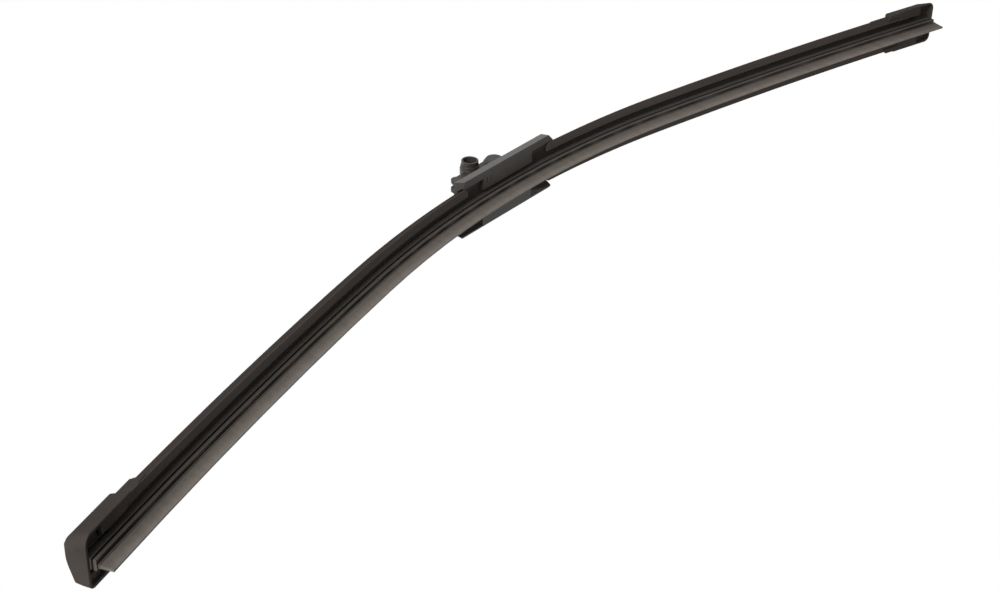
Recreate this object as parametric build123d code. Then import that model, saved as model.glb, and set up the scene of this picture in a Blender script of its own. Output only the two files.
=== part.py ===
from build123d import *
import os
from math import cos, degrees, sin

# Flat wiper blade. Millimetres, +X along the blade, +Z away from the glass, origin in the middle of the
# bearing hub that the wiper arm's pin goes through. "Across" sizes run along Y. "Height" sizes count from
# the datum, the line along the underside of the spoiler's flanges.

# Blade line
blade_length = 477.0        # over both end caps, along the datum
centre_radius = 405.0       # bend of the middle stretch
centre_reach = 82.0         # from the middle of the blade to where the bend eases
outer_radius = 2000.0       # bend of the two outer stretches
hub_height = 16.8           # hub axis above the datum

# Fits
slide_gap = 0.05            # rails and rubber in the slots that hold them
cover_gap = 0.1             # cap and bracket over the spoiler

# Spring rails
rail_width = 4.4
rail_thickness = 0.9
rail_inset = 12.0           # from the end of a cap back to the end of a rail

# Rubber
head_width = 4.8
head_thickness = 1.2
web_width = 2.4             # between the two rails
shoulder_width = 3.6
shoulder_depth = 2.05
groove_width = 0.35
groove_depth = 0.5
ridge_width = 3.5
ridge_depth = 1.15
neck_width = 0.8
neck_depth = 0.5
bead_width = 1.5
bead_depth = 0.35
lip_root_width = 1.15
lip_edge_width = 0.65
lip_depth = 4.4
rubber_round = 0.3

# Spoilers: a steep side at -Y up to the ridge, a crest, then a long slope down to the brow at +Y
spoiler_width = 15.7        # over the flanges
ridge_offset = 3.8          # from the middle of the blade
ridge_height = 5.7
crest_offset = 1.5
crest_height = 5.85
brow_offset = 6.3
brow_height = 3.0
ridge_round = 1.1
crest_round = 6.0
brow_round = 0.8
flange_thickness = 1.05
flange_edge = 0.45          # upright outer edge of a flange
flange_opening = 9.2        # clear width between the two flanges, under the rails
flange_corner_round = 2.0   # outer corner of a flange, beside the bracket

# End caps
cap_body_length = 21.6      # from the front of the body to the end of the blade
cap_overlap = 1.8           # end of the spoiler inside the body
cap_collar_length = 9.2     # thin collar in front of the body
cap_collar_wall = 0.55
cap_collar_lip = 1.4        # hook under the edge of a flange
cap_hook_setback = 3.3      # from the collar's front back to where its hooks start
cap_hook_slant = 1.6        # slanted fronts of the hooks
cap_width = 17.7
cap_ridge_offset = 6.0
cap_ridge_height = 6.4
cap_crest_height = 6.75
cap_brow_offset = 7.1
cap_brow_height = 3.9
cap_drop = 0.5              # cap's underside below the datum
cap_floor_length = 12.0     # ledges under the rails
cap_end_wall = 0.9
cap_corner_round = 2.6      # upright corners at the end
cap_steep_round = 3.4       # steep side to end wall
cap_nose_round = 1.4        # roof to end wall
rubber_end_gap = 0.1        # rubber to the inside of the end wall

# Centre bracket
bracket_length = 52.0       # over the +Y bar
bracket_width = 21.7        # over the side bars, at the bottom
bar_top_width = 18.2        # over the side bars, at their top
bar_foot = 0.5              # underside of bars and claws below the datum
bar_height = 4.3
bar_shelf = 1.9             # flat top of a side bar
bar_tip_round = 1.2         # ends of the +Y bar
bar_wall = 0.6              # foot of the +Y bar, which is a thin skirt
bar_roof = 1.3              # thickness under the +Y bar's shelf
bar_setback = 1.6           # left end of the -Y bar, in from the +Y bar's
bar_slant = 2.6             # slanted right end of the -Y bar
roof_inner_width = 10.2     # room under the roof, on its +Y side
roof_inner_height = 4.4
roof_length = 40.6
roof_top_width = 11.0
roof_height = 7.5
roof_end_round = 3.0
claw_length = 27.8
claw_opening = 7.2          # clear width between the two claws
claw_gap = 0.4              # claws to the end of a spoiler
flange_entry = 3.4          # flange end inside the bracket
bracket_round = 0.5
mark_width = 0.3            # two grooves across the underside of the -Y claw
mark_length = 2.4
mark_depth = 0.3
mark_spacing = 2.2
mark_inset = 2.1            # from the claw's left end to the first groove

# Head with the bearing hub
pin_bore = 4.8
hub_diameter = 6.2
hub_length = 8.2
hub_ring_diameter = 6.7
hub_ring_length = 4.8
hub_eye_diameter = 7.2
hub_eye_length = 2.6
web_thickness = 1.8
web_length = 23.0
web_height = 16.4
web_round = 2.0
boss_length = 4.8
boss_height = 13.2
left_boss_diameter = 4.0
left_boss_reach = 11.8      # from the hub axis
right_boss_diameter = 6.0
right_boss_foot = 8.2       # where it meets the web
right_boss_reach = 9.6

# Places that follow from the sizes above
half_length = blade_length / 2
spoiler_start = claw_length / 2 + claw_gap
flange_start = bracket_length / 2 - flange_entry
cap_front = half_length - cap_body_length
spoiler_end = cap_front + cap_overlap
rail_end = half_length - rail_inset
rubber_end = half_length - cap_end_wall - rubber_end_gap
rail_bottom = flange_thickness + slide_gap
rail_top = rail_bottom + rail_thickness
rail_inner = web_width / 2 + slide_gap
rail_outer = rail_inner + rail_width
head_bottom = rail_top + slide_gap
head_top = head_bottom + head_thickness
along_y = (0, 1, 0)


def blade_frame(reach):
    """Plane across the right half of the blade at an arc length from its middle: x is Y, y is height."""
    bend = min(reach, centre_reach) / centre_radius
    x = centre_radius * sin(bend)
    drop = centre_radius * (1 - cos(bend))
    if reach > centre_reach:
        far_bend = bend + (reach - centre_reach) / outer_radius
        x += outer_radius * (sin(far_bend) - sin(bend))
        drop += outer_radius * (cos(bend) - cos(far_bend))
        bend = far_bend
    return Plane(origin=(x, 0, -drop - hub_height), x_dir=along_y, z_dir=(cos(bend), 0, -sin(bend)))


def bend_stretch(section, start, end, radius):
    """The section turned along one arc of the blade line, between two arc lengths."""
    frame = blade_frame(start)
    axis = Axis(frame.origin - frame.y_dir * radius, along_y)
    return revolve(frame * section, axis, degrees((end - start) / radius))


def along_blade(section, start, end):
    """The section run along the right half of the blade line, through the change of bend."""
    solid = bend_stretch(section, start, min(end, centre_reach), centre_radius)
    if end > centre_reach:
        solid += bend_stretch(section, centre_reach, end, outer_radius)
    return solid


def both_halves(solid):
    """A solid that starts at the middle of the blade, joined to its mirror image."""
    return solid + mirror(solid, about=Plane.YZ)


def symmetric_face(half_outline):
    """Face with the given outline on its +Y side, from top to bottom, and the mirror image of it."""
    other_side = [(-y, height) for y, height in reversed(half_outline) if y > 0]
    return make_face(Polyline(*half_outline, *other_side, close=True))


def corner(face, y, height):
    """The corner of a section at the given place."""
    return face.vertices().sort_by_distance((y, height, 0))[0]


def corners(face, y, height):
    """The two mirror-image corners of a symmetric face."""
    return [corner(face, -y, height), corner(face, y, height)]


def hump_face(half_width, foot, ridge, crest, brow):
    """Section with upright edges, a steep side up to the ridge, a crest and a long slope to the brow."""
    edge_top = foot + flange_edge
    steep_side = [(-half_width, foot), (-half_width, edge_top), ridge]
    long_slope = [crest, brow, (half_width, edge_top), (half_width, foot)]
    face = make_face(Polyline(*steep_side, *long_slope, close=True))
    face = fillet(corner(face, *ridge), ridge_round)
    face = fillet(corner(face, *crest), crest_round)
    return fillet(corner(face, *brow), brow_round)


def spoiler_outline(gap=0.0):
    """Outside of the spoiler, or the room that a cover leaves around it."""
    ridge = (-ridge_offset - gap, ridge_height + gap)
    crest = (-crest_offset, crest_height + gap)
    brow = (brow_offset + gap, brow_height + gap)
    return hump_face(spoiler_width / 2 + gap, -gap, ridge, crest, brow)


def mouth_face(width, bottom, top):
    """Upright rectangle in the middle of a section, between two heights."""
    return Pos(0, (bottom + top) / 2) * Rectangle(width, top - bottom)


def slot_face(gap=0.0):
    """Room for both rails and the rubber's head, one above the other."""
    rails = mouth_face(2 * (rail_outer + gap), rail_bottom - gap, rail_top + gap)
    return rails + mouth_face(head_width + 2 * gap, rail_top, head_top + gap)


def make_rubber():
    """Wiping rubber: head over the rails, web between them, shoulders, groove, ridge, neck and lip."""
    shoulder_top = rail_bottom - slide_gap
    shoulder_bottom = shoulder_top - shoulder_depth
    ridge_top = shoulder_bottom - groove_width
    ridge_bottom = ridge_top - ridge_depth
    bead_top = ridge_bottom - neck_depth
    bead_bottom = bead_top - bead_depth
    lip_bottom = bead_bottom - lip_depth
    section = symmetric_face([
        (head_width / 2, head_top),
        (head_width / 2, head_bottom),
        (web_width / 2, head_bottom),
        (web_width / 2, shoulder_top),
        (shoulder_width / 2, shoulder_top),
        (shoulder_width / 2, shoulder_bottom),
        (shoulder_width / 2 - groove_depth, shoulder_bottom),
        (shoulder_width / 2 - groove_depth, ridge_top),
        (ridge_width / 2, ridge_top),
        (ridge_width / 2, ridge_bottom),
        (neck_width / 2, ridge_bottom),
        (neck_width / 2, bead_top),
        (bead_width / 2, bead_top),
        (bead_width / 2, bead_bottom),
        (lip_root_width / 2, bead_bottom),
        (lip_edge_width / 2, lip_bottom),
    ])
    rounded = corners(section, head_width / 2, head_top)
    rounded += corners(section, shoulder_width / 2, shoulder_bottom)
    rounded += corners(section, ridge_width / 2, ridge_bottom)
    return both_halves(along_blade(fillet(rounded, rubber_round), 0, rubber_end))


def make_rail(side):
    """One flat spring rail, on the side that the sign gives."""
    middle = (side * (rail_inner + rail_outer) / 2, (rail_bottom + rail_top) / 2)
    return both_halves(along_blade(Pos(*middle) * Rectangle(rail_width, rail_thickness), 0, rail_end))


def flange_corner(side):
    """What rounding the outer corner of a flange takes away, beside the bracket."""
    inner = side * (spoiler_width / 2 - flange_corner_round)
    square = Pos(inner + side * flange_corner_round / 2, flange_corner_round / 2) * Rectangle(
        flange_corner_round, flange_corner_round
    )
    plan = square - Pos(inner, flange_corner_round) * Circle(flange_corner_round)
    lying = Plane(origin=(0, 0, 0), x_dir=(1, 0, 0), z_dir=(0, -1, 0))
    return blade_frame(flange_start) * extrude(lying * plan, rail_bottom, both=True)


def make_spoiler():
    """Right-hand spoiler: a hump over the rubber, with flanges that hook under the rails."""
    section = spoiler_outline() - slot_face(slide_gap) - mouth_face(flange_opening, 0, rail_bottom)
    notch = mouth_face(spoiler_width, 0, rail_bottom)
    solid = along_blade(section, spoiler_start, spoiler_end)
    solid -= along_blade(notch, spoiler_start, flange_start)
    return solid - flange_corner(-1) - flange_corner(1)


def cap_plan(inset):
    """Block with the cap's rounded corners in plan, or the same block set in for the inside."""
    width = cap_width - 2 * inset
    length = cap_body_length - inset
    plan = Pos(0, length / 2) * Rectangle(width, length)
    plan = fillet(plan.vertices().sort_by(Axis.Y)[2:], cap_corner_round - inset)
    return extrude(Plane(origin=(0, 0, 0), x_dir=(1, 0, 0), z_dir=(0, -1, 0)) * plan, cap_width, both=True)


def cap_nose():
    """Block with the cap's rounded nose as seen from the side."""
    side = Pos(cap_body_length / 2, 0) * Rectangle(cap_body_length, 2 * cap_crest_height)
    side = fillet(side.vertices().group_by(Axis.X)[-1].sort_by(Axis.Y)[-1:], cap_nose_round)
    return extrude(Plane(origin=(0, 0, 0), x_dir=(0, 0, 1), z_dir=(-1, 0, 0)) * side, cap_width, both=True)


def cap_shoulder_waste():
    """What rounding the steep side into the end wall takes away, leaning with that side."""
    r = cap_steep_round
    waste = Pos(-r, r) * Rectangle(2 * r, 2 * r) - Circle(r)
    edge_top = flange_edge - cap_drop
    lying = Plane(origin=(0, edge_top, 0), x_dir=(1, 0, 0), z_dir=(0, -1, 0))
    lean = (cap_width / 2 - cap_ridge_offset, cap_ridge_height - edge_top, 0)
    placed = lying * Pos(r - cap_width / 2, cap_body_length - r) * waste
    return extrude(placed, cap_width, dir=lean, both=True)


def before_hooks():
    """Low block in front of the collar's hooks, which start behind its front and have slanted fronts."""
    outer = cap_width / 2
    inner = spoiler_width / 2 - cap_collar_lip
    plan = make_face(Polyline(
        (-outer, 0),
        (-outer, cap_hook_setback + cap_hook_slant),
        (-inner, cap_hook_setback),
        (inner, cap_hook_setback),
        (outer, cap_hook_setback + cap_hook_slant),
        (outer, 0),
        close=True,
    ))
    top = Plane(origin=(0, flange_edge, -cap_collar_length), x_dir=(1, 0, 0), z_dir=(0, -1, 0))
    return extrude(top * plan, flange_edge + cap_drop)


def make_end_cap():
    """Right-hand end cap: a collar over the spoiler, then a hollow body with ledges and an end wall."""
    ridge = (-cap_ridge_offset, cap_ridge_height)
    crest = (-crest_offset, cap_crest_height)
    brow = (cap_brow_offset, cap_brow_height)
    outline = hump_face(cap_width / 2, -cap_drop, ridge, crest, brow)
    body = extrude(outline, cap_body_length) & cap_plan(0) & cap_nose()
    body -= cap_shoulder_waste()

    room = spoiler_outline(cover_gap)
    below_rails = mouth_face(spoiler_width + 2 * cover_gap, -cap_drop, rail_bottom - slide_gap)
    between_hooks = mouth_face(spoiler_width - 2 * cap_collar_lip, -cap_drop, 0)
    inside = cap_plan(cap_end_wall)
    ledge_end = cap_overlap + cap_floor_length
    body_room = extrude(room - below_rails, ledge_end - cap_end_wall)
    body_room += extrude(room + between_hooks, cap_overlap + cover_gap)
    mouth = extrude(mouth_face(flange_opening, -cap_drop, rail_bottom), cap_body_length) & inside
    rubber_slot = extrude(slot_face(slide_gap), cap_body_length) & inside
    pocket = Pos(0, 0, ledge_end) * extrude(below_rails, cap_body_length) & inside

    above_drop = mouth_face(cap_width, -cap_drop, cap_width)
    collar_face = spoiler_outline(cover_gap + cap_collar_wall) & above_drop
    collar = extrude(collar_face - room - between_hooks, -cap_collar_length)
    collar -= before_hooks()
    return blade_frame(cap_front) * (body - body_room - mouth - rubber_slot - pocket + collar)


def make_head():
    """Upright web on the bracket's roof, with a boss near each end and the stepped bearing hub between."""
    foot = roof_height - bracket_round
    web = Pos(0, (foot + web_height) / 2) * Rectangle(web_length, web_height - foot)
    web = fillet(web.vertices().sort_by(Axis.Y)[2:], web_round)
    side_on = Plane(origin=(0, 0, -hub_height), x_dir=(1, 0, 0), z_dir=(0, -1, 0))
    head = extrude(side_on * web, web_thickness / 2, both=True)
    boss_rise = (boss_length - web_thickness) / 2
    boss_middle = (boss_length + web_thickness) / 4
    left_boss = Cylinder(left_boss_diameter / 2, boss_rise)
    right_boss = Cone(right_boss_foot / 2, right_boss_diameter / 2, boss_rise)
    for boss_x, boss in ((-left_boss_reach, left_boss), (right_boss_reach, right_boss)):
        near_boss = side_on * Pos(boss_x, boss_height, boss_middle) * boss
        head += near_boss
        head += mirror(near_boss, Plane.XZ)

    across = Rot(90, 0, 0)
    head += across * Cylinder(hub_diameter / 2, hub_length)
    head += across * Cylinder(hub_ring_diameter / 2, hub_ring_length)
    head += across * Cylinder(hub_eye_diameter / 2, hub_eye_length)
    return head - across * Cylinder(pin_bore / 2, hub_length)


def rounded_block(length, width, radius):
    """Upright block, rounded in plan, tall enough to trim anything on the bracket."""
    return extrude(RectangleRounded(length, width, radius), 2 * hub_height, both=True)


def bars_plan():
    """Upright block with the plan of the side bars: rounded +Y tips, a slanted right end on the -Y bar."""
    far = rounded_block(bracket_length, bracket_width, bar_tip_round)
    tip = bracket_length / 2
    side = bracket_width / 2
    near = make_face(Polyline(
        (bar_setback - tip, -side),
        (tip - bar_slant, -side),
        (tip, bar_slant - side),
        (tip, 0),
        (bar_setback - tip, 0),
        close=True,
    ))
    far_side = Pos(0, side, 0) * Box(2 * bracket_length, bracket_width, 4 * hub_height)
    return (far & far_side) + extrude(near, 2 * hub_height, both=True)


def claw_marks():
    """Two short grooves across the underside of the -Y claw, near its left end."""
    groove = Box(mark_width, mark_length, 2 * mark_depth)
    first = mark_inset - claw_length / 2
    across = -(claw_opening + mark_length) / 2 - bar_shelf
    under = -hub_height - bar_foot
    return Pos(first, across, under) * groove + Pos(first + mark_spacing, across, under) * groove


def make_bracket():
    """Centre bracket: side bars, roof and claws in one moulding, with the head on its roof."""
    middle = blade_frame(0)
    shelf_inner = bar_top_width / 2 - bar_shelf
    bars = symmetric_face([(bar_top_width / 2, bar_height), (bracket_width / 2, -bar_foot)])
    roof = symmetric_face([(roof_top_width / 2, roof_height), (shelf_inner, bar_height), (shelf_inner, 0)])
    roof = fillet(corners(roof, roof_top_width / 2, roof_height), bracket_round)
    half_room = spoiler_width / 2 + cover_gap
    room = make_face(Polyline(
        (-half_room, -bar_foot),
        (-half_room, flange_edge),
        (-ridge_offset - cover_gap, ridge_height + cover_gap),
        (-crest_offset, crest_height + cover_gap),
        (roof_inner_width / 2, roof_inner_height),
        (bar_top_width / 2 - bar_wall, bar_height - bar_roof),
        (bracket_width / 2 - bar_wall, -bar_foot),
        close=True,
    ))

    shell = extrude(middle * bars, bracket_length / 2, both=True) & bars_plan()
    shell += extrude(middle * roof, roof_length / 2, both=True) & rounded_block(
        roof_length, 2 * shelf_inner, roof_end_round
    )
    shell -= extrude(middle * room, bracket_length / 2, both=True)

    claws = extrude(middle * room, claw_length / 2, both=True)
    claws -= both_halves(along_blade(slot_face(slide_gap), 0, claw_length))
    claws -= extrude(middle * mouth_face(claw_opening, -bar_foot, rail_bottom), claw_length, both=True)
    return shell + claws + make_head() - claw_marks()


spoiler = make_spoiler()
end_cap = make_end_cap()
nodes = {
    "wiper_rubber": make_rubber(),
    "rail_front": make_rail(-1),
    "rail_rear": make_rail(1),
    "spoiler_right": spoiler,
    "spoiler_left": mirror(spoiler, about=Plane.YZ),
    "end_cap_right": end_cap,
    "end_cap_left": mirror(end_cap, about=Plane.YZ),
    "bracket": make_bracket(),
}

os.makedirs("parts", exist_ok=True)
for name, solid in nodes.items():
    export_step(solid, f"parts/{name}.step")
    print(name, round(solid.volume, 1), "mm3", len(solid.solids()), "solid")
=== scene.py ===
# %% [markdown]
# A flat wiper blade is a strip of wiping rubber on two spring-steel rails, under a low plastic spoiler, with a
# cap on each end and a bracket in the middle for the wiper arm. All of that could be modelled again here, but
# the imported solids already have those shapes, so they are loaded as they are. What is left for Blender is how
# each surface looks, the light and the camera. The box of the solids is kept now, and its lowest point later
# places the floor. The Standard view shows colours about as they are written.

# %% Load the imported blade
from math import cos, radians, sin
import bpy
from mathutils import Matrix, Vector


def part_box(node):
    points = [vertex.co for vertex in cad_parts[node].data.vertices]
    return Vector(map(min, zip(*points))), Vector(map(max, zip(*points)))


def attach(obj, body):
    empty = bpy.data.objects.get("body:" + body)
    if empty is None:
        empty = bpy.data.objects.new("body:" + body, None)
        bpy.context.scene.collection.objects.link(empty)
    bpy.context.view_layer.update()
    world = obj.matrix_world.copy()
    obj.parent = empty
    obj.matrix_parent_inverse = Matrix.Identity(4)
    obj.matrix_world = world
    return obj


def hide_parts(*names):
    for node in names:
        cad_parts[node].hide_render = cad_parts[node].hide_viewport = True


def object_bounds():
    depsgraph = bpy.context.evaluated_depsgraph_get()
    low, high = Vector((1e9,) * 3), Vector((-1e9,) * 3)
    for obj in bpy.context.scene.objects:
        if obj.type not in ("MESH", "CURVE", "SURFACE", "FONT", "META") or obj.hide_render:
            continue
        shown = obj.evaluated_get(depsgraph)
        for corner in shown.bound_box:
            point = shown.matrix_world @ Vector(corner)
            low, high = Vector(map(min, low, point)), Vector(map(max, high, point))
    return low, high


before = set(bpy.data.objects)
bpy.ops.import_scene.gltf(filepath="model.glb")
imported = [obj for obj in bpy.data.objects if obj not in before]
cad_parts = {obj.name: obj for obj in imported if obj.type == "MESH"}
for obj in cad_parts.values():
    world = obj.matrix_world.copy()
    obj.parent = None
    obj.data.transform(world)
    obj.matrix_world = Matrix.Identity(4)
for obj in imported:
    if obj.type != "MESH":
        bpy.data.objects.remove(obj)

from types import SimpleNamespace

import bmesh
import bpy
from mathutils import Matrix, Vector

cad_low, cad_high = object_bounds()
scene = bpy.context.scene
scene.view_settings.view_transform = "Standard"
print("loaded", len(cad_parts), "solids, from", cad_low[:], "to", cad_high[:])

# %% [markdown]
# A material in Blender is a net of nodes, and most nets here need the same few moves: make a node, set some of
# its sockets, and wire others to nodes that came before. Typing that out each time hides the idea of a finish
# behind bookkeeping, so one small helper does it. A plain value goes onto the socket, and a socket is wired.
# Math nodes come up most often, so they get a shorter helper of their own.

# %% Helpers for shader nodes
def shader_node(tree, kind, inputs=(), **properties):
    """One shader node, with its properties set and its input sockets filled or wired."""
    made = tree.nodes.new("ShaderNode" + kind)
    for name, value in properties.items():
        setattr(made, name, value)
    for socket, value in dict(inputs).items():
        if isinstance(value, bpy.types.NodeSocket):
            tree.links.new(value, made.inputs[socket])
        else:
            made.inputs[socket].default_value = value
    return made


def reckoned(tree, operation, first, second=0.0):
    """What a Math node makes of two values."""
    return shader_node(tree, "Math", {0: first, 1: second}, operation=operation).outputs[0]


print("helpers ready:", shader_node.__name__, "and", reckoned.__name__)

# %% [markdown]
# Rubber and spoiler are extruded: they leave the die as endless strips, and every line on them runs along the
# strip. The finished blade is bent, so those lines are bent too, and a texture laid straight along X would cut
# across them near the ends. A UV map could follow the bend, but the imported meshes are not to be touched.
# Instead the shader will work out where a point is on the bent blade. The bend is a tight arc in the middle and
# a shallow arc on each side, so the centres of two circles say all of it. They follow from the radii, the place
# where the arcs meet, and the height of the hub, where the origin is.

# %% The bend in numbers
mm = 0.001
centre_radius = 405 * mm
centre_reach = 82 * mm
outer_radius = 2000 * mm
hub_height = 16.8 * mm

bend = centre_reach / centre_radius
change_x = centre_radius * sin(bend)
centre_low = -hub_height - centre_radius
outer_x = change_x - outer_radius * sin(bend)
outer_low = centre_low + (centre_radius - outer_radius) * cos(bend)
print("the arcs meet at x =", round(change_x / mm, 2), "mm")

# %% [markdown]
# One node group turns those numbers into coordinates that every finish can use: along the blade, across it, and
# its height over the line under the spoiler's edges, all in millimetres. The height is the distance from the
# arc's centre, less the radius. Each finish could repeat these nodes, but in a group they are made once. Both
# ends bend alike, so X loses its sign first and one outer arc serves them both.

# %% Coordinates that follow the bend
def height_over_arc(tree, place, x, z, radius):
    """Distance of a place from an arc's centre, less its radius."""
    reach = shader_node(tree, "VectorMath", {0: place, 1: (x, 0, z)}, operation="DISTANCE")
    return reckoned(tree, "SUBTRACT", reach.outputs["Value"], radius)


def make_blade_coordinates():
    """Node group that gives a point's place along, across and over the blade, in millimetres."""
    tree = bpy.data.node_groups.new("blade_coordinates", "ShaderNodeTree")
    tree.interface.new_socket("Place", in_out="OUTPUT", socket_type="NodeSocketVector")
    tree.interface.new_socket("Height", in_out="OUTPUT", socket_type="NodeSocketFloat")
    where = shader_node(tree, "TexCoord").outputs["Object"]
    axes = shader_node(tree, "SeparateXYZ", {0: where}).outputs
    from_middle = reckoned(tree, "ABSOLUTE", axes["X"])
    side_on = shader_node(tree, "CombineXYZ", {"X": from_middle, "Z": axes["Z"]}).outputs[0]
    over_centre = height_over_arc(tree, side_on, 0, centre_low, centre_radius)
    over_outer = height_over_arc(tree, side_on, outer_x, outer_low, outer_radius)
    is_outer = reckoned(tree, "GREATER_THAN", from_middle, change_x)
    height = shader_node(tree, "Mix", {"Factor": is_outer, 2: over_centre, 3: over_outer}).outputs[0]
    place = shader_node(tree, "CombineXYZ", {"X": axes["X"], "Y": axes["Y"], "Z": height}).outputs[0]
    place_mm = shader_node(tree, "VectorMath", {0: place, "Scale": 1 / mm}, operation="SCALE").outputs[0]
    out = tree.nodes.new("NodeGroupOutput")
    tree.links.new(place_mm, out.inputs["Place"])
    tree.links.new(reckoned(tree, "MULTIPLY", height, 1 / mm), out.inputs["Height"])
    return tree


blade_coordinates = make_blade_coordinates()
print("made", blade_coordinates.name, "with", len(blade_coordinates.nodes), "nodes")

# %% [markdown]
# Every finish starts from the same base: a Principled shader, the blade's own coordinates, and edges that are
# not razor sharp. Moulded and extruded plastic always has a small radius, and it shows as a thin light line.
# Rounding the mesh would show it too, but the strips are bent and their meshes stay as they are. The Bevel
# shader node turns the normals near an edge instead.

# %% The base that all finishes share
def start_finish(name, specular, edge_radius):
    """A new material, and the parts of its node tree that a finish is built from."""
    material = bpy.data.materials.new(name)
    material.use_nodes = True
    tree = material.node_tree
    tree.nodes.clear()
    shader = shader_node(tree, "BsdfPrincipled", {"Specular IOR Level": specular})
    shader_node(tree, "OutputMaterial", {"Surface": shader.outputs["BSDF"]}, is_active_output=True)
    blade = shader_node(tree, "Group", node_tree=blade_coordinates).outputs
    soft_edge = shader_node(tree, "Bevel", {"Radius": edge_radius}, samples=6).outputs[0]
    return SimpleNamespace(
        material=material, tree=tree, shader=shader,
        place=blade["Place"], height=blade["Height"], soft_edge=soft_edge,
    )


print("helper ready:", start_finish.__name__)

# %% [markdown]
# No real surface is one even colour: streaks, clouds and grain break it up. Pictures of a surface would show
# that, but they need files and a UV map, and a Noise node needs neither. Coordinates that are stretched more one
# way than the other make streaks of the noise, and a Map Range node turns it into a brightness or a roughness.
# Nearly all of a noise lies between 0.3 and 0.7, and the sum of two has twice that range.

# %% Streaks, clouds and grain
def stretched_noise(base, features, detail):
    """Noise with so many features per millimetre along, across and over the blade."""
    scaled = shader_node(base.tree, "VectorMath", {0: base.place, 1: features}, operation="MULTIPLY").outputs[0]
    settings = {"Vector": scaled, "Scale": 1.0, "Detail": detail, "Roughness": 0.55}
    return shader_node(base.tree, "TexNoise", settings).outputs["Fac"]


def ranged(tree, value, low, high, to_low, to_high):
    """A value moved from one range to another, and held inside it."""
    settings = {"Value": value, "From Min": low, "From Max": high, "To Min": to_low, "To Max": to_high}
    return shader_node(tree, "MapRange", settings).outputs[0]


def varied(tree, noise, to_low, to_high, layers=1):
    """A noise, or a sum of so many layers of noise, as a value between two others."""
    return ranged(tree, noise, 0.3 * layers, 0.7 * layers, to_low, to_high)


print("helpers ready:", stretched_noise.__name__, ranged.__name__, varied.__name__)

# %% [markdown]
# A finish then needs a colour that such a value can lighten or darken, and a place where colour, roughness and
# relief meet. The relief of a fine grain could be modelled, with millions of faces. A Bump node gives the same
# light and shade from the noise itself, and its depth is a real one, a few hundredths of a millimetre.

# %% Colour and relief
def plain_colour(tree, colour):
    """A colour as a vector, for nodes that shade it."""
    return shader_node(tree, "CombineXYZ", dict(zip("XYZ", colour))).outputs[0]


def shaded(tree, colour, strength):
    """A colour made lighter or darker by a strength around one."""
    return shader_node(tree, "VectorMath", {0: colour, "Scale": strength}, operation="SCALE").outputs[0]


def dress(base, colour, roughness, relief, depth):
    """Wire colour, roughness and a relief of some depth into a finish's shader, and give its material."""
    settings = {"Height": relief, "Distance": depth, "Strength": 1.0, "Normal": base.soft_edge}
    normal = shader_node(base.tree, "Bump", settings).outputs[0]
    for socket, value in (("Base Color", colour), ("Roughness", roughness), ("Normal", normal)):
        base.tree.links.new(value, base.shader.inputs[socket])
    print("made", base.material.name, "with", len(base.tree.nodes), "nodes")
    return base.material


print("helpers ready:", plain_colour.__name__, shaded.__name__, dress.__name__)

# %% [markdown]
# The wiping rubber is one extrusion, but its lip looks paler than the rest: the flanks of the lip carry a dry
# graphite coat so that it slides quietly, and the ramp makes the lip paler still towards the wiping edge. The
# folds above the lip are made dark as painted shade, and the lower rims of the bead, ridge and shoulder carry
# thin painted highlights. Separate materials could be given to separate faces, but the change is gradual and
# follows the height over the blade's line. So a colour ramp on that height paints them all, and each tone has
# its height in millimetres.

# %% Tones of the rubber, with painted shade and painted highlights
lip_edge = -7.75
# The neck, the groove and the fold under the bead are painted shade; the low stops of bead, ridge and shoulder
# are painted highlights.
rubber_tones_and_painted_light = {
    "edge of the lip": (lip_edge, (0.160, 0.139, 0.126)),
    "middle of the lip": (-5.3, (0.105, 0.091, 0.081)),
    "root of the lip": (-3.65, (0.087, 0.075, 0.067)),
    "painted shade under the bead": (-3.42, (0.048, 0.041, 0.037)),
    "bead, low, painted highlight": (-3.3, (0.076, 0.066, 0.059)),
    "bead, high": (-3.1, (0.066, 0.057, 0.050)),
    "neck in painted shade, low": (-3.0, (0.009, 0.008, 0.007)),
    "neck in painted shade, high": (-2.56, (0.009, 0.008, 0.007)),
    "ridge, low, painted highlight": (-2.49, (0.074, 0.065, 0.058)),
    "ridge, high": (-1.6, (0.050, 0.044, 0.039)),
    "groove in painted shade, low": (-1.45, (0.005, 0.004, 0.004)),
    "groove in painted shade, high": (-0.9, (0.005, 0.004, 0.004)),
    "shoulder, low, painted highlight": (-0.8, (0.062, 0.054, 0.048)),
    "shoulder, high": (0.0, (0.046, 0.040, 0.036)),
}


def rubber_ramp(base):
    """Colour ramp over the height, from the lip's edge up to the blade's line, with painted shade and highlights.
    """
    share = ranged(base.tree, base.height, lip_edge, 0, 0, 1)
    ramp = shader_node(base.tree, "ValToRGB", {"Fac": share})
    stops = ramp.color_ramp.elements
    stops.remove(stops[1])
    for height, tone in rubber_tones_and_painted_light.values():
        stop = stops[0] if height == lip_edge else stops.new(1 - height / lip_edge)
        stop.color = (*tone, 1)
    return ramp.outputs["Color"]


print(len(rubber_tones_and_painted_light), "tones, from", lip_edge, "mm up")

# %% [markdown]
# On top of the tones lie the marks of making and use. The die leaves fine streaks along the strip, and mottling
# and short smears across it break up the coat. All of them are noise, stretched by other numbers. Rubber is
# matt, so it has little specular light, and only the streaks are felt as relief.

# %% Wiping rubber
die_streaks = (0.02, 2.5, 2.5)
coat_mottle = (0.6, 1.5, 0.9)
coat_smears = (0.3, 0.05, 0.05)


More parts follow.
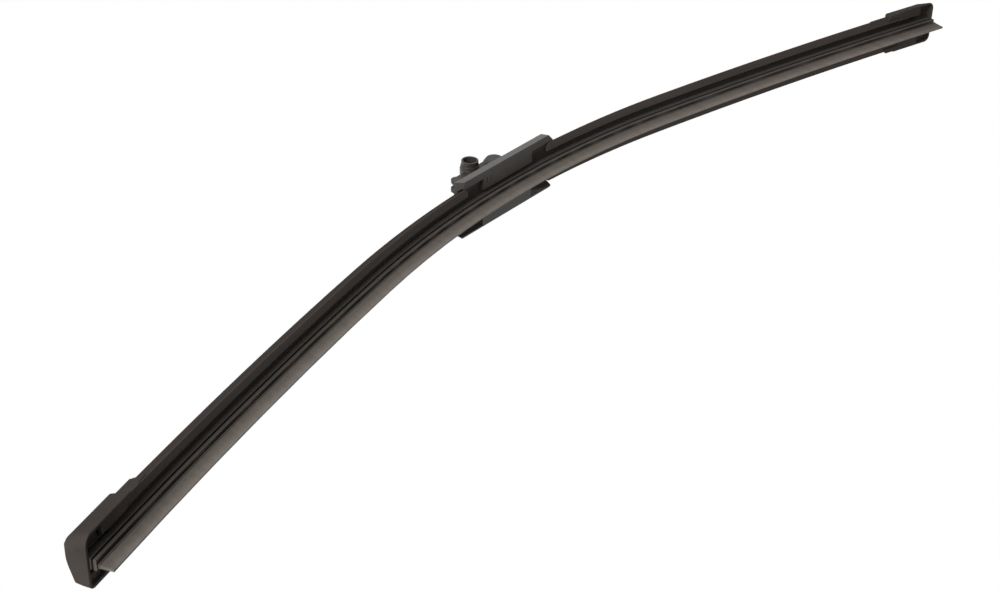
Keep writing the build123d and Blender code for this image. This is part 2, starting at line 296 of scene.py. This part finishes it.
def make_rubber_finish():
    """Matt black rubber with a paler coat on the wiping lip, painted shade in its folds and painted highlights.
    """
    base = start_finish("wiping_rubber", specular=0.1, edge_radius=0.08 * mm)
    tree = base.tree
    streaks = stretched_noise(base, die_streaks, detail=3.0)
    mottle = stretched_noise(base, coat_mottle, detail=3.0)
    smears = stretched_noise(base, coat_smears, detail=2.0)
    marks = reckoned(tree, "ADD", streaks, mottle)
    colour = shaded(tree, rubber_ramp(base), varied(tree, marks, 0.88, 1.12, layers=2))
    colour = shaded(tree, colour, varied(tree, smears, 0.92, 1.08))
    return dress(base, colour, varied(tree, marks, 0.62, 0.78, layers=2), streaks, 0.02 * mm)


rubber_finish = make_rubber_finish()

# %% [markdown]
# The two rails are flat spring steel with a thin black paint. Only their edges show, in the gap between the
# spoiler and the rubber. A metal shader under a clear coat could be built for them, but paint hides the metal,
# so a plain dark satin does, with the slight orange peel of dipped paint.

# %% Painted spring steel
paint_black = (0.018, 0.0157, 0.014)
paint_peel = (0.5, 0.8, 0.8)


def make_rail_finish():
    """Black dip paint on steel."""
    base = start_finish("painted_rail", specular=0.12, edge_radius=0.1 * mm)
    tree = base.tree
    peel = stretched_noise(base, paint_peel, detail=1.0)
    colour = shaded(tree, plain_colour(tree, paint_black), varied(tree, peel, 0.85, 1.15))
    return dress(base, colour, varied(tree, peel, 0.54, 0.66), peel, 0.03 * mm)


rail_finish = make_rail_finish()

# %% [markdown]
# The spoilers are extruded as well, with flanges that hook under the rails and a fin above them. The fin is
# made darker than the flanges, as painted shade on its walls. Two materials would need the mesh to be cut between
# them, so the height over the blade's line tells fin and flanges apart instead. Both get long streaks, finer than
# on the rubber, in the roughness and in a very shallow relief, so that a reflection breaks into lines along the
# blade.

# %% Extruded spoiler plastic
flange_black = (0.055, 0.047, 0.042)
fin_painted_shade = 0.72
painted_shade_starts, painted_shade_is_full = 0.3, 0.6
die_lines = (0.01, 3.0, 3.0)
plastic_cloud = (0.03, 0.15, 0.15)


def make_spoiler_finish():
    """Matt black plastic with die lines along the blade, with painted shade on the fin above the flanges."""
    base = start_finish("spoiler_plastic", specular=0.008, edge_radius=0.2 * mm)
    tree = base.tree
    lines = stretched_noise(base, die_lines, detail=4.0)
    cloud = stretched_noise(base, plastic_cloud, detail=2.0)
    marks = reckoned(tree, "ADD", lines, cloud)
    colour = shaded(tree, plain_colour(tree, flange_black), varied(tree, marks, 0.85, 1.15, layers=2))
    # Painted shade: the colour is darkened above the flanges' edge.
    colour = shaded(tree, colour, ranged(tree, base.height, painted_shade_starts, painted_shade_is_full, 1.0, fin_painted_shade))
    return dress(base, colour, varied(tree, marks, 0.72, 0.88, layers=2), lines, 0.012 * mm)


spoiler_finish = make_spoiler_finish()

# %% [markdown]
# Caps and bracket are injection moulded in a tool with an eroded surface, which leaves a fine even grain, a few
# tenths of a millimetre across. Handling wears the grain off the edges, so they are a little paler, and the paler
# edges also serve as a painted highlight along the rims. That could be painted onto the edges by hand. Here the
# Bevel node finds them: near an edge its normal leaves the face's own normal, and the angle between the two is
# the mask.

# %% Moulded plastic with an eroded grain
eroded_grain = (2.6, 2.6, 2.6)
moulding_cloud = (0.12, 0.12, 0.12)
edge_begins, edge_is_full = 0.99, 0.75


def make_moulded_finish(name, colour, specular, roughness, edge_radius, wear_and_highlight):
    """Grained black plastic, paler on its edges from wear and a painted highlight; roughness is its lowest and
    highest value.
    """
    base = start_finish(name, specular, edge_radius)
    tree = base.tree
    grain = stretched_noise(base, eroded_grain, detail=2.0)
    cloud = stretched_noise(base, moulding_cloud, detail=2.0)
    face = shader_node(tree, "NewGeometry").outputs["Normal"]
    turned = shader_node(tree, "VectorMath", {0: base.soft_edge, 1: face}, operation="DOT_PRODUCT")
    # Paler edges: partly wear, partly a painted highlight.
    worn_and_highlit = ranged(tree, turned.outputs["Value"], edge_begins, edge_is_full, 0.0, wear_and_highlight)
    tone = reckoned(tree, "ADD", varied(tree, cloud, 0.9, 1.1), worn_and_highlit)
    tone = reckoned(tree, "MULTIPLY", tone, varied(tree, grain, 0.92, 1.08))
    colour = shaded(tree, plain_colour(tree, colour), tone)
    return dress(base, colour, varied(tree, grain, *roughness), grain, 0.02 * mm)


print("helper ready:", make_moulded_finish.__name__)

# %% [markdown]
# The caps are dull and brownish. The bracket is a harder plastic from a finer tool, so it is darker and has a
# satin shine, which lights up on faces that are seen at a low angle. Two calls of one function with other
# numbers give both.

# %% Cap and bracket plastic
# On the caps the paler edges are broad and strong: partly wear, partly a painted highlight on the rounded rims.
cap_finish = make_moulded_finish(
    "cap_plastic", colour=(0.045, 0.039, 0.035), specular=0.015, roughness=(0.66, 0.82),
    edge_radius=0.7 * mm, wear_and_highlight=0.5,
)
bracket_finish = make_moulded_finish(
    "bracket_plastic", colour=(0.030, 0.0253, 0.0226), specular=0.32, roughness=(0.34, 0.48),
    edge_radius=0.12 * mm, wear_and_highlight=0.3,
)

# %% [markdown]
# No edge on a moulding is sharp: the tool's corners are rounded, and a rim without a radius would chip. The
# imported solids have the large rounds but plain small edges. A bevel modifier on a mesh of triangles would round
# every line between them. So a copy of each moulding is cleaned first, by merging the triangles of a flat face,
# and then only the outward edges with a clear angle are bevelled. Very short edges are left out, because a
# bevel wider than its edge folds over, and no point may leave the solid's box.

# %% A mesh with rounded edges
weld_distance = 0.001 * mm
flat_within = radians(0.5)
rim_angle = radians(30)
shortest_rim = 0.25 * mm
edge_round = 0.12 * mm


def rounded_mesh(name):
    """Mesh of a moulded solid with its outward edges rounded."""
    work = bmesh.new()
    work.from_mesh(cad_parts[name].data)
    bmesh.ops.remove_doubles(work, verts=work.verts, dist=weld_distance)
    bmesh.ops.dissolve_limit(work, angle_limit=flat_within, verts=work.verts, edges=work.edges)
    rims = [
        edge for edge in work.edges
        if edge.is_convex and edge.calc_face_angle(0) > rim_angle and edge.calc_length() > shortest_rim
    ]
    bmesh.ops.bevel(
        work, geom=rims, offset=edge_round, segments=3, profile=0.5, affect="EDGES",
        clamp_overlap=False, loop_slide=False,
    )
    low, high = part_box(name)
    for vertex in work.verts:
        vertex.co = [min(max(value, low[i]), high[i]) for i, value in enumerate(vertex.co)]
    mesh = bpy.data.meshes.new(name + "_rounded")
    work.to_mesh(mesh)
    work.free()
    print(mesh.name, "has", len(rims), "rounded edges and", len(mesh.polygons), "faces")
    return mesh


print("helper ready:", rounded_mesh.__name__)

# %% [markdown]
# The caps and the bracket are now shown by such copies. Flat shading would show the facets of the rounds, and
# smooth shading would drag the large flat faces along with them. So the copies are shaded smooth, clear corners
# stay sharp, and a Weighted Normal modifier lets the large faces decide. Each copy rides where its solid was
# and stands for it.

# %% Rounded copies of caps and bracket
smooth_below = radians(32)


def rounded_moulding(name):
    """Rounded copy of a moulded solid, which stands for the solid."""
    mesh = rounded_mesh(name)
    mesh.shade_smooth()
    mesh.set_sharp_from_angle(angle=smooth_below)
    copy = bpy.data.objects.new(name + "_rounded", mesh)
    scene.collection.objects.link(copy)
    shading = copy.modifiers.new("flat_faces_stay_flat", "WEIGHTED_NORMAL")
    shading.keep_sharp = True
    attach(copy, "root")
    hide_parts(name)
    return copy


shown = dict(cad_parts)
for moulding in ("end_cap_left", "end_cap_right", "bracket"):
    shown[moulding] = rounded_moulding(moulding)
print("shown:", sorted(piece.name for piece in shown.values()))

# %% [markdown]
# On a real blade each piece is made in its own colour before it is put together, so each piece takes one
# finish. A solid keeps its mesh and gets the finish in its first material slot. A copy has no slot yet, so its
# finish is added.

# %% Put the finishes on
finish_of = {
    "wiper_rubber": (rubber_finish, "rubber"),
    "rail_front": (rail_finish, "rail"),
    "rail_rear": (rail_finish, "rail"),
    "spoiler_left": (spoiler_finish, "spoiler"),
    "spoiler_right": (spoiler_finish, "spoiler"),
    "end_cap_left": (cap_finish, "cap"),
    "end_cap_right": (cap_finish, "cap"),
    "bracket": (bracket_finish, "bracket"),
}
for name, (finish, slot) in finish_of.items():
    piece = shown[name]
    if piece.material_slots:
        piece.material_slots[0].material = finish
    else:
        piece.data.materials.append(finish)
    print(piece.name, "wears", finish.name)

# %% [markdown]
# The blade stands on the two ends of its lip, bowed as on a flat sheet of glass before the arm presses it down,
# so a pale floor lies at its lowest point and catches its shadow. The portrait looks up at the wiping side, from
# under that floor. The floor could be left out, but from above the blade would float. So it is a one-way sheet:
# solid from above, clear from below. It is clear to shadow rays too, so a lamp that hangs lower than the floor
# still lights the underside of the blade, and the blade's own shadow stays. It thins out with distance, which
# hides its rim.

# %% Floor finish
floor_reach = 1.2
fade_begins, fade_is_full = 0.35 * floor_reach, 0.95 * floor_reach
floor_pale = (0.86, 0.86, 0.85)


def make_floor_finish():
    """Pale matt floor that is clear from below and fades out before its rim."""
    material = bpy.data.materials.new("pale_floor")
    material.use_nodes = True
    tree = material.node_tree
    tree.nodes.clear()
    where = shader_node(tree, "TexCoord").outputs["Object"]
    reach = shader_node(tree, "VectorMath", {0: where}, operation="LENGTH").outputs["Value"]
    fade = ranged(tree, reach, fade_begins, fade_is_full, 0.0, 1.0)
    below = shader_node(tree, "NewGeometry").outputs["Backfacing"]
    shadow_ray = shader_node(tree, "LightPath").outputs["Is Shadow Ray"]
    clear = reckoned(tree, "MAXIMUM", reckoned(tree, "MAXIMUM", fade, below), shadow_ray)
    mottle = shader_node(tree, "TexNoise", {"Vector": where, "Scale": 6.0, "Detail": 2.0}).outputs["Fac"]
    pale = shaded(tree, plain_colour(tree, floor_pale), varied(tree, mottle, 0.99, 1.01))
    matt = shader_node(tree, "BsdfDiffuse", {"Color": pale}).outputs[0]
    open_air = shader_node(tree, "BsdfTransparent").outputs[0]
    mixed = shader_node(tree, "MixShader", {"Fac": clear, 1: matt, 2: open_air}).outputs[0]
    shader_node(tree, "OutputMaterial", {"Surface": mixed})
    return material


floor_finish = make_floor_finish()
print("made", floor_finish.name)

# %% [markdown]
# The sheet itself is one square face. A thick slab would show its underside to the camera. The face's normal
# points up, and that is what tells above from below.

# %% Floor
def make_floor():
    """Square sheet at the blade's lowest point."""
    mesh = bpy.data.meshes.new("floor")
    r = floor_reach
    mesh.from_pydata([(-r, -r, 0), (r, -r, 0), (r, r, 0), (-r, r, 0)], [], [(0, 1, 2, 3)])
    mesh.materials.append(floor_finish)
    floor = bpy.data.objects.new("floor", mesh)
    floor.location.z = cad_low.z
    scene.collection.objects.link(floor)
    return floor


floor = make_floor()
print("floor at z =", round(floor.location.z / mm, 1), "mm")

# %% [markdown]
# A black part needs a bright room more than strong lamps: what shows its shape is the pale surroundings that
# it mirrors. A room could be modelled around it. A world that is white to the camera and to reflections does
# the same without walls, and it is dimmer as a light, so that colours come out about as they are written.

# %% White room
room_light, room_white = 0.38, 1.0


def make_world():
    """White to the camera and in reflections, a soft grey light otherwise."""
    world = bpy.data.worlds.new("white_room")
    world.use_nodes = True
    tree = world.node_tree
    tree.nodes.clear()
    path = shader_node(tree, "LightPath").outputs
    seen = reckoned(tree, "MAXIMUM", path["Is Camera Ray"], path["Is Glossy Ray"])
    seen = reckoned(tree, "MAXIMUM", seen, path["Is Transmission Ray"])
    strength = ranged(tree, seen, 0, 1, room_light, room_white)
    room = shader_node(tree, "Background", {"Color": (1, 1, 1, 1), "Strength": strength}).outputs[0]
    shader_node(tree, "OutputWorld", {"Surface": room})
    return world


scene.world = make_world()
print("world:", scene.world.name)

# %% [markdown]
# Two lamps are enough for the form. One large soft lamp stands low beyond the left end and lights the end face
# and the lip. The other hangs high on the far side, where it lights the back and the floor but leaves the near
# walls dark. Small lamps or a sun would draw hard shadows, and a soft studio has none.

# %% Lamps
def make_lamp(name, place, size, power):
    """Square soft lamp aimed at the blade's middle."""
    light = bpy.data.lights.new(name, "AREA")
    light.shape, light.size, light.energy = "SQUARE", size, power
    lamp = bpy.data.objects.new(name, light)
    lamp.location = place
    lamp.rotation_euler = (-Vector(place)).to_track_quat("-Z", "Y").to_euler()
    scene.collection.objects.link(lamp)
    print("lamp", lamp.name, "with", light.energy, "W")
    return lamp


make_lamp("key", place=(-2.1, -1.35, -0.2), size=1.2, power=74)
make_lamp("fill", place=(0.5, 2.2, 1.7), size=1.5, power=76)

# %% [markdown]
# The camera stands where the picture was taken from: low on the wiping side, near the left end, with a long
# lens. It could be aimed by eye. Its place and axes are given as they were measured instead, right, up and
# backwards, so that the blade lies in the frame as it should.

# %% Camera
camera_place = Vector((-467.62, -313.88, -372.83)) * mm
camera_right = (0.6186, -0.02326, -0.78536)
camera_up = (0.39794, -0.8526, 0.3387)
camera_back = (-0.67748, -0.52204, -0.51817)
lens_length, sensor_width = 67.888, 36.0


def make_camera():
    """Camera at its measured place, with a long lens."""
    data = bpy.data.cameras.new("portrait")
    data.sensor_fit, data.sensor_width, data.lens = "HORIZONTAL", sensor_width, lens_length
    data.clip_start, data.clip_end = 0.01, 50.0
    camera = bpy.data.objects.new("portrait", data)
    turn = Matrix((camera_right, camera_up, camera_back)).transposed().to_4x4()
    camera.matrix_world = Matrix.Translation(camera_place) @ turn
    scene.collection.objects.link(camera)
    return camera


scene.camera = make_camera()
print("camera at", [round(x, 4) for x in camera_place])
